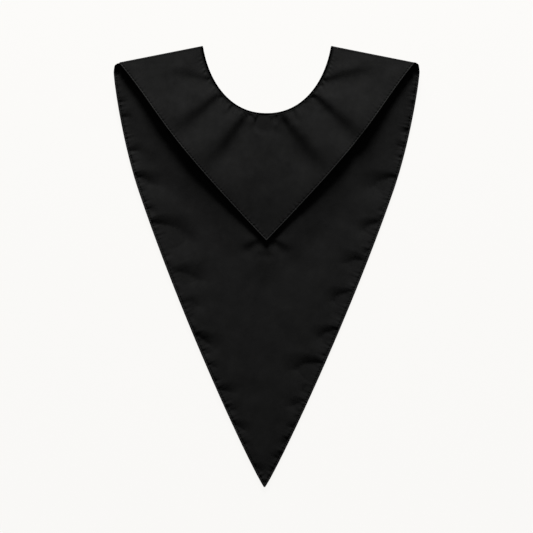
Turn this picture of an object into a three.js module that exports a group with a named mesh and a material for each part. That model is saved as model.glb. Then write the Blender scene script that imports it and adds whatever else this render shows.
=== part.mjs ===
// Graduation stole: a V-shaped front and back of black cloth, sewn together along two slanted
// shoulder seams, with a turned-over V collar and a rolled seam round the neck.
// It lies face up and is folded on the shoulder seams, so the back is under the front.
// Units are millimetres. +X is to the right, +Y towards the neck and +Z up from the table.
import * as THREE from 'three';
import { LoftGeometry } from 'three/addons/geometries/LoftGeometry.js';

// Driving dimensions. A depth is measured down the stole from its two neck points.
const stole = { length: 623, halfWidth: 216, widestDepth: 34, tipLean: - 3.2 };
const cloth = { thickness: 1.2, gap: 0.4 };
const neck = { halfWidth: 93.5, depth: 94.5, rise: 36, squareness: 2.15, rollRadius: 1.3, rollGap: 0.3 };
const shoulder = { levelHalfWidth: 93.8, slope: THREE.MathUtils.degToRad( 11.4 ) };
const cornerHalfWidth = { collar: 207, panel: 212 };
const collar = { frontDepth: 275, backDepth: 160, edgeLift: 9.0, tipLift: 4.8, liftRun: 62, seatRun: 22 };
const back = { depth: 285 };
const drape = { start: 12, run: 30, edgeSlant: 0.72, tipRounding: 4 };

// Heights of the pile where all four cloths lie over each other.
const layer = cloth.thickness + cloth.gap;
const pileHeight = 4 * cloth.thickness + 3 * cloth.gap;
const foldRadius = pileHeight / 2;

// Folds of the front collar. Each starts at the neck seam and runs out towards the collar's edge.
const collarFolds = [
	{ x: - 70, depth: 67, toX: - 123, toDepth: 118, halfWidth: 4, toHalfWidth: 18, height: 2.8 },
	{ x: - 29, depth: 95, toX: - 84, toDepth: 168, halfWidth: 4, toHalfWidth: 21, height: 3.6 },
	{ x: 2, depth: 100, toX: 6, toDepth: 124, halfWidth: 3, toHalfWidth: 6, height: 1.2 },
	{ x: 21, depth: 98, toX: 78, toDepth: 174, halfWidth: 4, toHalfWidth: 22, height: 3.6 },
	{ x: 70, depth: 67, toX: 127, toDepth: 122, halfWidth: 4, toHalfWidth: 18, height: 2.8 },
	{ x: 83, depth: 47, toX: 153, toDepth: 34, halfWidth: 4, toHalfWidth: 12, height: 1.8 },
	{ x: - 82, depth: 44, toX: - 118, toDepth: 36, halfWidth: 4, toHalfWidth: 10, height: 1.6 },
];

// Gathers of the front's hem. Each starts on the edge and runs inwards by reach, falling by fall.
const hemGathers = [
	{ side: - 1, depth: 99, reach: 15, fall: - 4, height: 1.4 },
	{ side: - 1, depth: 146, reach: 19, fall: - 2, height: 1.6 },
	{ side: - 1, depth: 181, reach: 33, fall: 8, height: 2.2 },
	{ side: - 1, depth: 248, reach: 55, fall: 12, height: 2.4 },
	{ side: - 1, depth: 321, reach: 46, fall: - 2, height: 2.4 },
	{ side: - 1, depth: 362, reach: 29, fall: - 1, height: 1.8 },
	{ side: - 1, depth: 405, reach: 28, fall: 12, height: 2.2 },
	{ side: - 1, depth: 484, reach: 25, fall: - 1, height: 2.0 },
	{ side: - 1, depth: 531, reach: 22, fall: 8, height: 1.8 },
	{ side: - 1, depth: 591, reach: 15, fall: 6, height: 1.4 },
	{ side: 1, depth: 144, reach: 14, fall: - 8, height: 1.6 },
	{ side: 1, depth: 185, reach: 37, fall: 5, height: 2.2 },
	{ side: 1, depth: 249, reach: 29, fall: 5, height: 2.2 },
	{ side: 1, depth: 305, reach: 32, fall: - 6, height: 2.2 },
	{ side: 1, depth: 350, reach: 32, fall: 2, height: 2.0 },
	{ side: 1, depth: 401, reach: 29, fall: 4, height: 2.2 },
	{ side: 1, depth: 450, reach: 41, fall: - 3, height: 2.2 },
	{ side: 1, depth: 505, reach: 25, fall: - 3, height: 1.8 },
	{ side: 1, depth: 551, reach: 15, fall: 8, height: 1.6 },
];
const gatherHalfWidth = 7;

// Grid sizes. A row crosses one half of a cloth, from the neck or the centre line to its edge.
const grid = { panelNeckRows: 12, panelRows: 42, panelColumns: 10, collarRows: 32, collarColumns: 11, bendRows: 3 };
const backGrid = { panelNeckRows: 10, panelRows: 8, panelColumns: 4, collarRows: 18, collarColumns: 3, bendRows: 2 };
const roll = { sides: 8, seamSteps: 24, turnSteps: 4 };
const columnCrowding = 0.25;

const ease = ( t ) => THREE.MathUtils.smoothstep( t, 0, 1 );
const point = ( x, depth ) => new THREE.Vector2( x, depth );

// Depth of the line that the cloths are folded on, half a pile inside the shoulder's outline.
function foldDepth( x ) {

	return ( x - shoulder.levelHalfWidth ) * Math.tan( shoulder.slope ) + foldRadius / Math.cos( shoulder.slope );

}

// The neckline is part of a slightly squared ellipse. Offset moves it outwards, and angle is 0 at
// its lowest point.
function neckline( offset, angle ) {

	const power = 2 / neck.squareness;
	const across = Math.sign( angle ) * Math.abs( Math.sin( angle ) ) ** power;
	const drop = ( neck.depth + neck.rise + offset ) * Math.cos( angle ) ** power;
	return point( ( neck.halfWidth + offset ) * across, drop - neck.rise );

}

// The neckline's angle where it meets the fold line, closed in on from the ellipse's widest point.
function necklineEnd( offset ) {

	let angle = Math.PI / 2;
	for ( let step = 0; step < 6; step ++ ) {

		const drop = foldDepth( neckline( offset, angle ).x ) + neck.rise;
		angle = Math.acos( ( drop / ( neck.depth + neck.rise + offset ) ) ** ( neck.squareness / 2 ) );

	}

	return angle;

}

// Edges of the right halves, from the shoulder's corner to the tip.
const foldPoint = ( x ) => point( x, foldDepth( x ) );
const widestPoint = point( stole.halfWidth, stole.widestDepth );

// A panel's edge rounds its corner and goes on through smoothly joined curves, each given by its
// two control points and its end.
function panelEdge( ...curves ) {

	const edge = new THREE.CurvePath();
	const cornerControl = foldPoint( stole.halfWidth );
	edge.add( new THREE.QuadraticBezierCurve( foldPoint( cornerHalfWidth.panel ), cornerControl, widestPoint ) );
	let start = widestPoint;
	for ( const [ firstControl, secondControl, end ] of curves ) {

		edge.add( new THREE.CubicBezierCurve( start, firstControl, secondControl, end ) );
		start = end;

	}

	return edge;

}

function collarEdge( firstControl, secondControl, tipDepth ) {

	const start = foldPoint( cornerHalfWidth.collar );
	return new THREE.CubicBezierCurve( start, firstControl, secondControl, point( 0, tipDepth ) );

}

const frontPanelEdge = panelEdge(
	[ point( 216, 44 ), point( 206.5, 126 ), point( 181.5, 200 ) ],
	[ point( 118, 387 ), point( 20, 593 ), point( 0, stole.length ) ],
);
const backPanelEdge = panelEdge( [ point( 170, 95 ), point( 130, 150 ), point( 0, back.depth ) ] );
const frontCollarEdge = collarEdge( point( 144, 104 ), point( 160.5, 108 ), collar.frontDepth );
const backCollarEdge = collarEdge( point( 160, 60 ), point( 100, 100 ), collar.backDepth );

const edgeSamples = new Map();
for ( const edge of [ frontPanelEdge, backPanelEdge, frontCollarEdge, backCollarEdge ] ) {

	edgeSamples.set( edge, edge.getSpacedPoints( 160 ) );

}

// Half-width of a cloth at a depth: its edge's, carried on in a straight line past the tip.
function halfWidthAt( edge, depth ) {

	const samples = edgeSamples.get( edge );
	if ( depth <= samples[ 0 ].y ) return samples[ 0 ].x;
	const found = samples.findIndex( ( sample ) => sample.y >= depth );
	const next = found < 0 ? samples.length - 1 : found;
	const low = samples[ next - 1 ];
	const high = samples[ next ];
	return low.x + ( high.x - low.x ) * ( depth - low.y ) / ( high.y - low.y );

}

// Distance that a point lies outside a V-shaped edge, and below 0 inside it.
function distanceOutside( edge, x, depth ) {

	return ( Math.hypot( x, drape.tipRounding ) - halfWidthAt( edge, depth ) ) * drape.edgeSlant;

}

// Share of its height that a cloth keeps as it falls past the edge of the one below it.
function fallPast( edge, x, depth ) {

	return 1 - ease( ( distanceOutside( edge, x, depth ) - drape.start ) / drape.run );

}

// Height of one rounded ridge that starts at a point, widens and fades out at another.
function ridgeHeight( ridge, x, depth ) {

	const along = point( ridge.toX - ridge.x, ridge.toDepth - ridge.depth );
	const offset = point( x - ridge.x, depth - ridge.depth );
	const length = along.length();
	const part = offset.dot( along ) / length ** 2;
	if ( part <= 0 || part >= 1 ) return 0;
	const distance = Math.abs( offset.cross( along ) ) / length;
	const halfWidth = THREE.MathUtils.lerp( ridge.halfWidth, ridge.toHalfWidth, part );
	return ridge.height * ease( part / ridge.rise ) * ( 1 - ease( part ) ) * ( 1 - ease( distance / halfWidth ) );

}

const hemRidges = hemGathers.map( ( gather ) => {

	const edgeX = gather.side * halfWidthAt( frontPanelEdge, gather.depth );
	return {
		x: edgeX + gather.side * gatherHalfWidth,
		depth: gather.depth,
		toX: edgeX - gather.side * gather.reach,
		toDepth: gather.depth + gather.fall,
		halfWidth: gatherHalfWidth,
		toHalfWidth: gatherHalfWidth,
		height: gather.height,
		rise: 0.01,
	};

} );
const collarRidges = collarFolds.map( ( fold ) => ( { ...fold, rise: 0.25 } ) );

function ridgesHeight( ridges, x, depth ) {

	return ridges.reduce( ( height, ridge ) => Math.max( height, ridgeHeight( ridge, x, depth ) ), 0 );

}

// Height of each cloth's lower face over the table. The two of the back lie flat, and the front
// falls past the back's edge on to the table.
const backCollarBase = () => 0;
const backPanelBase = () => layer;

function frontPanelBase( x, depth ) {

	return 2 * layer * fallPast( backPanelEdge, x, depth ) + ridgesHeight( hemRidges, x, depth );

}

// The collar is seated at the neck and the shoulders, and its free edge stands off the front.
function frontCollarBase( x, depth ) {

	const inside = - distanceOutside( frontCollarEdge, x, depth );
	const fromFold = depth - foldDepth( Math.abs( x ) );
	const towardsTip = ease( ( collar.frontDepth - depth ) / ( 2 * collar.liftRun ) );
	const edgeLift = THREE.MathUtils.lerp( collar.tipLift, collar.edgeLift, towardsTip );
	const lift = edgeLift * ( 1 - ease( inside / collar.liftRun ) ) * ease( fromFold / collar.seatRun );
	const folds = ridgesHeight( collarRidges, x, depth ) * ease( fromFold / foldRadius );
	return frontPanelBase( x, depth ) + layer + lift + folds;

}

// A corner of a wall: its upper and lower point over one place on the cloth.
function wallPoint( x, depth, base ) {

	const height = base( x, depth );
	const leaned = x + stole.tipLean * depth / stole.length;
	return {
		upper: new THREE.Vector3( leaned, - depth, height + cloth.thickness ),
		lower: new THREE.Vector3( leaned, - depth, height ),
	};

}

// Rows of a front or back, between the neckline or the centre line and the edge.
function panelRows( edge, side, base, sizes ) {

	const offset = 2 * neck.rollRadius + neck.rollGap;
	const endAngle = necklineEnd( offset );
	const neckBottom = neckline( offset, 0 ).y;
	const tipDepth = edge.getPoint( 1 ).y;
	const neckShare = ( neckBottom + 35 ) / tipDepth;
	const rows = [];
	for ( let row = 0; row <= sizes.panelNeckRows + sizes.panelRows; row ++ ) {

		const part = row / sizes.panelNeckRows;
		const below = Math.max( 0, ( row - sizes.panelNeckRows ) / sizes.panelRows );
		const inner = part < 1
			? neckline( offset, endAngle * ( 1 - part ) )
			: point( 0, THREE.MathUtils.lerp( neckBottom, tipDepth, below ) );
		const share = part < 1 ? neckShare * part : THREE.MathUtils.lerp( neckShare, 1, below );
		const outer = edge.getPoint( share );
		rows.push( rowPoints( inner, outer, side, base, sizes.panelColumns ) );

	}

	return rows;

}

// Points of one row, closer together towards the edge.
function rowPoints( inner, outer, side, base, columns ) {

	const points = [];
	for ( let column = 0; column <= columns; column ++ ) {

		const part = column / columns;
		const share = part + columnCrowding * part * ( 1 - part );
		const place = inner.clone().lerp( outer, share );
		points.push( wallPoint( side * place.x, place.y, base ) );

	}

	return points;

}

// Rows of a collar, which fan out from the neckline. The first ones bend round the shoulder's fold.
function collarRows( edge, side, base, sizes, bendSign ) {

	const offset = 2 * neck.rollRadius + neck.rollGap;
	const endAngle = necklineEnd( offset );
	const rows = [];
	for ( let row = 0; row <= sizes.collarRows; row ++ ) {

		const share = row / sizes.collarRows;
		const inner = neckline( offset, endAngle * ( 1 - share ) );
		const outer = edge.getPointAt( share );
		rows.push( rowPoints( inner, outer, side, base, sizes.collarColumns ) );

	}

	const firstRow = rows[ 0 ];
	for ( let step = 1; step <= sizes.bendRows; step ++ ) {

		rows.unshift( firstRow.map( ( corner ) => bentPoint( corner, side, step / sizes.bendRows, bendSign ) ) );

	}

	return rows;

}

// Carries a wall's corner round the fold, a quarter turn less half the gap to the other collar.
function bentPoint( corner, side, share, bendSign ) {

	const outward = new THREE.Vector3( side * Math.sin( shoulder.slope ), Math.cos( shoulder.slope ), 0 );
	const turn = share * ( Math.PI / 2 - neck.rollGap / 2 / foldRadius );
	const bend = ( radius ) => new THREE.Vector3( corner.upper.x, corner.upper.y, foldRadius )
		.addScaledVector( outward, radius * Math.sin( turn ) )
		.add( new THREE.Vector3( 0, 0, bendSign * radius * Math.cos( turn ) ) );
	const outerFace = bend( foldRadius );
	const innerFace = bend( foldRadius - cloth.thickness );
	return bendSign > 0 ? { upper: outerFace, lower: innerFace } : { upper: innerFace, lower: outerFace };

}

// Closes a wall round a cloth that is given as two halves, each a grid of corners.
// Shared corners are joined, and an edge that only one face uses gets a rim.
function wallGeometry( halves ) {

	const corners = [];
	const numbers = new Map();
	const numberOf = ( corner ) => {

		const name = corner.upper.toArray().map( ( value ) => value.toFixed( 3 ) ).join( ' ' );
		if ( ! numbers.has( name ) ) {

			numbers.set( name, corners.length );
			corners.push( corner );

		}

		return numbers.get( name );

	};

	const faces = [];
	const addFace = ( a, b, c ) => {

		if ( a !== b && b !== c && c !== a ) faces.push( [ a, b, c ] );

	};

	for ( const { rows, side } of halves ) {

		const numbered = rows.map( ( row ) => row.map( numberOf ) );
		for ( let row = 1; row < numbered.length; row ++ ) {

			for ( let column = 1; column < numbered[ row ].length; column ++ ) {

				const a = numbered[ row - 1 ][ column - 1 ];
				const b = numbered[ row ][ column - 1 ];
				const c = numbered[ row ][ column ];
				const d = numbered[ row - 1 ][ column ];
				if ( side > 0 ) {

					addFace( a, b, c );
					addFace( a, c, d );

				} else {

					addFace( a, c, b );
					addFace( a, d, c );

				}

			}

		}

	}

	const count = corners.length;
	const directed = new Set( faces.flatMap( ( [ a, b, c ] ) => [ `${a} ${b}`, `${b} ${c}`, `${c} ${a}` ] ) );
	const index = [];
	for ( const [ a, b, c ] of faces ) {

		index.push( a, b, c );
		index.push( a + count, c + count, b + count );
		for ( const [ from, to ] of [ [ a, b ], [ b, c ], [ c, a ] ] ) {

			if ( directed.has( `${to} ${from}` ) ) continue;
			index.push( to, from, from + count );
			index.push( to, from + count, to + count );

		}

	}

	const points = [ ...corners.map( ( corner ) => corner.upper ), ...corners.map( ( corner ) => corner.lower ) ];
	const geometry = new THREE.BufferGeometry().setFromPoints( points );
	geometry.setIndex( index );
	geometry.computeVertexNormals();
	return geometry;

}

function panelGeometry( edge, base, sizes ) {

	return wallGeometry( [ 1, - 1 ].map( ( side ) => ( { side, rows: panelRows( edge, side, base, sizes ) } ) ) );

}

function collarGeometry( edge, base, sizes, bendSign ) {

	return wallGeometry( [ 1, - 1 ].map( ( side ) =>
		( { side, rows: collarRows( edge, side, base, sizes, bendSign ) } ) ) );

}

// The rolled neck seam is one ring. It runs along the front's neckline, turns down over the
// shoulder's fold, comes back under it along the back's and turns up again.
function neckRollGeometry() {

	const offset = neck.rollRadius;
	const endAngle = necklineEnd( offset );
	const turnRadius = foldRadius / 2 + cloth.gap / 4;
	const stations = [];
	for ( let step = 0; step <= roll.seamSteps; step ++ ) {

		stations.push( { angle: endAngle * ( 2 * step / roll.seamSteps - 1 ), turn: 0 } );

	}

	for ( let step = 1; step < roll.turnSteps; step ++ ) {

		stations.push( { angle: endAngle, turn: Math.PI * step / roll.turnSteps } );

	}

	for ( let step = 0; step <= roll.seamSteps; step ++ ) {

		stations.push( { angle: endAngle * ( 1 - 2 * step / roll.seamSteps ), turn: Math.PI } );

	}

	for ( let step = 1; step <= roll.turnSteps; step ++ ) {

		stations.push( { angle: - endAngle, turn: Math.PI * ( 1 - step / roll.turnSteps ) } );

	}

	const sections = stations.map( ( { angle, turn } ) => {

		const place = neckline( offset, angle );
		const tangent = neckline( offset, angle + 0.001 ).sub( neckline( offset, angle - 0.001 ) ).normalize();
		const forward = new THREE.Vector3( tangent.x, - tangent.y, 0 ).multiplyScalar( Math.sign( angle ) || 1 );
		const across = new THREE.Vector3( tangent.y, tangent.x, 0 );
		const up = new THREE.Vector3( 0, 0, Math.cos( turn ) ).addScaledVector( forward, Math.sin( turn ) );
		const leaned = place.x + stole.tipLean * place.y / stole.length;
		const centre = new THREE.Vector3( leaned, - place.y, foldRadius ).addScaledVector( up, turnRadius );
		const section = [];
		for ( let side = 0; side < roll.sides; side ++ ) {

			const round = side / roll.sides * 2 * Math.PI;
			section.push( centre.clone()
				.addScaledVector( across, neck.rollRadius * Math.cos( round ) )
				.addScaledVector( up, neck.rollRadius * Math.sin( round ) ) );

		}

		return section;

	} );
	return new LoftGeometry( sections, { closed: true, capStart: false, capEnd: false } );

}

const blackCloth = { roughness: 0.95, metalness: 0 };

function addPiece( name, geometry, color ) {

	const piece = new THREE.Mesh( geometry, new THREE.MeshStandardMaterial( { ...blackCloth, color } ) );
	piece.name = name;
	graduationStole.add( piece );

}

const graduationStole = new THREE.Group();
addPiece( 'front_panel', panelGeometry( frontPanelEdge, frontPanelBase, grid ), 0x19191b );
addPiece( 'back_panel', panelGeometry( backPanelEdge, backPanelBase, backGrid ), 0x19191b );
addPiece( 'front_collar', collarGeometry( frontCollarEdge, frontCollarBase, grid, 1 ), 0x1e1e20 );
addPiece( 'back_collar', collarGeometry( backCollarEdge, backCollarBase, backGrid, - 1 ), 0x1e1e20 );
addPiece( 'neck_roll', neckRollGeometry(), 0x161618 );

// The origin is under the middle of the whole stole, on the table.
const box = new THREE.Box3().setFromObject( graduationStole );
const middle = box.getCenter( new THREE.Vector3() );
graduationStole.position.set( - middle.x, - middle.y, - box.min.z );

export default graduationStole;
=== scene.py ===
# Black graduation stole, lying face up and folded on its shoulder seams.
# Lengths here are in millimetres and turn into metres when a mesh is made.
# A depth is measured down the stole from the two ends of its neckline.
import bpy
import numpy as np
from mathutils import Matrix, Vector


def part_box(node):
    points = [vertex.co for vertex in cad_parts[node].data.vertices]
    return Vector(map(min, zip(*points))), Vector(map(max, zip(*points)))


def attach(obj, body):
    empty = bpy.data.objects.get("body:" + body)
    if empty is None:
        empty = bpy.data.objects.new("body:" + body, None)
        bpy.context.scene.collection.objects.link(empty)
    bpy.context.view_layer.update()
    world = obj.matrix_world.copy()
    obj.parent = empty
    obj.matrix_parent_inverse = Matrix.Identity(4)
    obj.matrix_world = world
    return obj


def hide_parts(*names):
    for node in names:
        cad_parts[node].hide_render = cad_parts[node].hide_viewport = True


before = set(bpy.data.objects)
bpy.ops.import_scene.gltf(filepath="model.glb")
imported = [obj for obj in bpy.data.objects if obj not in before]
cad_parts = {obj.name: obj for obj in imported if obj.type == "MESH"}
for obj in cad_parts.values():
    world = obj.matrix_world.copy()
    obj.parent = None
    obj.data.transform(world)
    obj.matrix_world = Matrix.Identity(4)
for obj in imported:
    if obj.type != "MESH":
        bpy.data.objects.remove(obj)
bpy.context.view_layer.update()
mm = 0.001  # a millimetre


def boxOf(node):
    # a node's two corners
    low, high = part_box(node)
    return np.array(low) / mm, np.array(high) / mm


panelLow, panelHigh = boxOf("front_panel")
backLow, backHigh = boxOf("back_panel")
collarLow = boxOf("front_collar")[0]
backCollarLow = boxOf("back_collar")[0]
print("frame loaded, front", np.round(panelHigh - panelLow, 1), "mm")

# measures that all the pieces share
cut = dict(
    length=623.0,  # from the neckline's ends down to the tip
    tipTuck=0.1,  # of that, taken up by the cloth's turn at the tip
    halfWidth=(panelHigh[0] - panelLow[0]) / 2,
    widestDepth=36.5,
    tipLean=-3.2,  # the tip lies this far to the left
    slope=np.radians(11.4),  # of the shoulder seams
    levelHalfWidth=93.8,  # where a shoulder seam is at depth 0
    collarCorner=207.0,  # half-width at the shoulder's fold
    panelCorner=211.0,
    tabStart=205.2, tabRun=2.6, tabDepth=14.0, tabRises=(0.5, 1.7),  # the fold outside it
    turnShort=0.05,  # of a quarter turn round the fold
    collarSway=0.85, neckShift=0.3,  # both to the right
    swayRun=100, neckFade=60,  # where these come and go
    neckHalfWidth=93.1,  # the neckline is a slightly squared ellipse
    neckDepth=94.5,
    neckRise=36.0,
    neckSquareness=2.15,
    tipRound=4, slant=0.72,  # of a V's tip and sides
)
# points that pull the edges' Bezier curves, as (half-width, depth)
pulls = dict(
    corner=[(214.6, 28.2), (214.6, 28.2)],
    frontUpper=[(215.8, 46), (205.9, 126)],
    frontMiddle=(181.6, 200),  # where the front's two curves meet
    frontLower=(118.2, 387),
    nearTip=(20.8, 30),  # half-width, and height above the tip
    tipHalfWidth=0.9,
    backPanel=[(170, 95), (130, 150)],
    frontCollar=[(144, 104), (160.5, 108)],
    backCollar=[(160, 60), (100, 100)],
)
edgePoints = dict(
    corner=60, frontPanel=1400, backPanel=800, frontCollar=800, backCollar=600, neck=500)
neckLevel = panelLow[1] + cut["length"]
leanStart = -cut["tipLean"] * cut["widestDepth"] / cut["length"]
wall = backHigh[2] - backLow[2]
layer = backLow[2] - backCollarLow[2]
foldRadius = (4 * wall + 3 * (layer - wall)) / 2


def ease(t):
    # three t squared less two t cubed, with t held between 0 and 1
    t = np.clip(t, 0, 1)
    return t * t * (3 - 2 * t)


def blendOf(a, b, t):
    # a plus the share t of the way to b
    return a + (b - a) * t


def bezier(points, count=500):
    # Bernstein sum of four points, for a parameter from 0 to 1
    t = np.linspace(0, 1, count)[:, None]
    a, b, c, d = np.array(points, float)
    return a * (1 - t) ** 3 + 3 * b * t * (1 - t) ** 2 + 3 * c * t ** 2 * (1 - t) + d * t ** 3


def resampled(line, count):
    # the same line with its points evenly spaced along its length
    steps = np.hypot(*np.diff(line, axis=0).T)
    travelled = np.concatenate([[0], np.cumsum(steps)])
    wanted = np.linspace(0, travelled[-1], count)
    return np.stack([np.interp(wanted, travelled, line[:, k]) for k in (0, 1)], axis=1)


def foldDepth(x):
    # the shoulder line's depth at a half-width, moved in by half the pile's height
    return (x - cut["levelHalfWidth"]) * np.tan(cut["slope"]) + foldRadius / np.cos(cut["slope"])


def neckline(offset, angle):
    # a superellipse's point at an angle from its lowest one: sine and cosine to the power of
    # two over its squareness, with both half-axes larger by an offset
    power = 2 / cut["neckSquareness"]
    across = (cut["neckHalfWidth"] + offset) * np.sign(angle) * np.abs(np.sin(angle)) ** power
    drop = (cut["neckDepth"] + cut["neckRise"] + offset) * np.cos(angle) ** power
    return np.stack([across, drop - cut["neckRise"]], axis=-1)


def necklineEnd(offset, rounds=6):
    # the angle at which the neckline meets the fold line, by repeated substitution
    angle = np.pi / 2
    for _ in range(rounds):
        drop = foldDepth(neckline(offset, angle)[0]) + cut["neckRise"]
        share = drop / (cut["neckDepth"] + cut["neckRise"] + offset)
        angle = np.arccos(share ** (cut["neckSquareness"] / 2))
    return angle


# right-hand edges as (half-width, depth), from the shoulder's corner to the tip
frontTip, backTip = cut["length"] - cut["tipTuck"], neckLevel - backLow[1]
collarTip, backCollarTip = neckLevel - collarLow[1], neckLevel - backCollarLow[1]
widest = (cut["halfWidth"], cut["widestDepth"])
nearTip = (pulls["nearTip"][0], frontTip - pulls["nearTip"][1])
tipPoint = (pulls["tipHalfWidth"], frontTip)
panelCorner = (cut["panelCorner"], foldDepth(cut["panelCorner"]))
collarCorner = (cut["collarCorner"], foldDepth(cut["collarCorner"]))
cornerRound = bezier([panelCorner, *pulls["corner"], widest], edgePoints["corner"])
frontUpper = bezier([widest, *pulls["frontUpper"], pulls["frontMiddle"]])
frontLower = bezier([pulls["frontMiddle"], pulls["frontLower"], nearTip, tipPoint])
backSide = bezier([widest, *pulls["backPanel"], (0, backTip)])
curves = dict(
    frontPanel=np.vstack([cornerRound, frontUpper[1:], frontLower[1:]]),
    backPanel=np.vstack([cornerRound, backSide[1:]]),
    frontCollar=bezier([collarCorner, *pulls["frontCollar"], (0, collarTip)]),
    backCollar=bezier([collarCorner, *pulls["backCollar"], (0, backCollarTip)]),
)
edges = {name: resampled(curve, edgePoints[name]) for name, curve in curves.items()}
edges["neck"] = neckline(0, np.linspace(necklineEnd(0), 0, edgePoints["neck"]))


def halfWidthAt(edge, depth, back=40):
    # the edge's half-width at a depth, carried on past its tip in the straight line that its
    # last points give, from some points back
    line = edges[edge]
    line = line[np.argmin(line[:, 1]):]
    last, before = line[-1], line[-back]
    beyond = (depth - last[1]) * (last[0] - before[0]) / (last[1] - before[1])
    return np.where(depth > last[1], last[0] + beyond, np.interp(depth, line[:, 1], line[:, 0]))


def directionsOf(line):
    # unit vectors along a line and inwards from it, by differences of its points
    direction = np.gradient(line, axis=0)
    direction /= np.hypot(*direction.T)[:, None]
    return direction, np.stack([-direction[:, 1], direction[:, 0]], axis=1)


def placeOnEdge(edge, x, depth, atOnce=2500):
    # how far along the edge each point's nearest point lies, and the distance inwards, which
    # is the offset's part across the edge's direction
    line = edges[edge]
    direction, inward = directionsOf(line)
    spacing = np.hypot(*(line[1] - line[0]))
    across, down = np.abs(np.ravel(x)), np.ravel(depth)
    along, inside = np.empty(across.size), np.empty(across.size)
    for part in np.array_split(np.arange(across.size), max(1, across.size // atOnce)):
        offset = np.stack([across[part], down[part]], axis=1)[:, None, :] - line[None]
        nearest = (offset ** 2).sum(2).argmin(1)
        gap = offset[np.arange(len(part)), nearest]
        along[part] = nearest * spacing + (gap * direction[nearest]).sum(1)
        inside[part] = (gap * inward[nearest]).sum(1)
    return along.reshape(np.shape(x)), inside.reshape(np.shape(x))


# the cloth's relief
cloth = dict(
    seed=11,
    cloudWaves=16, cloudLengths=(28, 95), cloudHeight=0.16,  # slow unevenness of laid cloth
    cloudEdge=15,  # it fades out over a hem's
    panelStitch=3.3, collarStitch=2.2,  # from a hem's edge to its stitches
    lipPlace=0.33, lipWidth=0.8, lipHeight=0.22,  # as a share of that
    grooveWidths=(1.2, 0.7), grooveDepth=0.033,  # times its distance squared
    rimWidth=0.4, rimDrop=0.5,
    rippleWaves=9, rippleLengths=(5, 10), rippleHeight=0.28,  # small gathers along a hem
    rippleStart=1, rippleRise=2.5,
    foldFall=3.53, leastRun=0.35,  # of a fold's lower side
    foldOverrun=1.2,  # a fold ends at this share
    foldRise=0.05, foldFade=0.65, dipFade=0.4,  # shares where it comes and goes
    foldGrowth=0.75, dipGrowth=0.5,  # powers of its share
    largestExponent=60,
    dipPower=1.6, dipReach=1.3,
    hemStart=4,  # a collar's hem rises over this
)
random = np.random.default_rng(cloth["seed"])


def waveTable(count, lengths):
    # wave vectors of random direction and length, with random phases
    direction = random.uniform(0, 2 * np.pi, count)
    number = 2 * np.pi / random.uniform(*lengths, count)
    phase = random.uniform(0, 2 * np.pi, count)
    return np.stack([number * np.cos(direction), number * np.sin(direction), phase], axis=1)


def waves(table, x, depth):
    # mean of sines, each over its own direction, scaled to about one
    total = sum(np.sin(kx * x + ky * depth + phase) for kx, ky, phase in table)
    return total / np.sqrt(len(table))


def hemProfile(inside, stitchAt):
    # the hem's lip, a Gaussian, less its rounded rim and the groove that the stitches pull in,
    # which is a Gaussian too and wider on its outer side
    fromLip = inside - cloth["lipPlace"] * stitchAt
    lip = cloth["lipHeight"] * np.exp(-(fromLip / cloth["lipWidth"]) ** 2)
    fromStitch = inside - stitchAt
    width = np.where(fromStitch < 0, *cloth["grooveWidths"])
    groove = cloth["grooveDepth"] * stitchAt ** 2 * np.exp(-(fromStitch / width) ** 2)
    return lip - groove - cloth["rimDrop"] * np.exp(-np.maximum(inside, 0) / cloth["rimWidth"])


def hemRipple(along, inside, table, reach):
    # a sum of sines along the hem that starts at its stitches and fades inwards
    total = sum(np.sin(number * along + phase) for number, _, phase in table)
    fromStart = inside - cloth["rippleStart"]
    fromFull = np.maximum(inside - (cloth["rippleStart"] + cloth["rippleRise"]), 0)
    start = ease(fromStart / cloth["rippleRise"]) * np.exp(-fromFull / reach)
    return cloth["rippleHeight"] * total / np.sqrt(len(table)) * start


def rippleTable():
    # wave numbers of random length, with random phases
    count = cloth["rippleWaves"]
    number = 2 * np.pi / random.uniform(*cloth["rippleLengths"], count)
    return np.stack([number, 0 * number, random.uniform(0, 2 * np.pi, count)], axis=1)


def foldPlace(x, depth, fold, power):
    # how far along a fold's line as a share, how far below the line, and the fold's width and
    # slope there, which change by a power of that share
    startX, startDepth, endX, endDepth, startWidth, endWidth, startSlope, endSlope = fold
    length = np.hypot(endX - startX, endDepth - startDepth)
    alongX, alongDepth = (endX - startX) / length, (endDepth - startDepth) / length
    part = ((x - startX) * alongX + (depth - startDepth) * alongDepth) / length
    down = ((depth - startDepth) * alongX - (x - startX) * alongDepth) * np.sign(alongX)
    grown = np.clip(part, 0, cloth["foldOverrun"]) ** power
    width = blendOf(startWidth, endWidth, grown)
    slope = blendOf(startSlope, endSlope, grown) / max(abs(alongX), cloth["leastRun"])
    return part, down, width, slope


def foldEnds(part, fade):
    # an eased rise over a fold's first part times an eased fall from a share to its end
    fallen = ease((part - fade) / (cloth["foldOverrun"] - fade))
    return ease(part / cloth["foldRise"]) * (1 - fallen)


def foldHeight(x, depth, fold, ridge, reach):
    # a logistic step down across a line, of which the ridge's share stands above the cloth and
    # the rest below it, both fading by a Gaussian; its height is four times the wanted slope
    # times its width, because a logistic curve's steepest slope is a quarter
    part, down, width, slope = foldPlace(x, depth, fold, cloth["foldGrowth"])
    limit = cloth["largestExponent"]
    step = 1 / (1 + np.exp(np.clip(-cloth["foldFall"] * down / width, -limit, limit)))
    height = 4 * slope * width / cloth["foldFall"] * (ridge - step)
    fading = np.exp(-(down / (reach * width)) ** 2)
    return height * fading * foldEnds(part, cloth["foldFade"])


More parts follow.
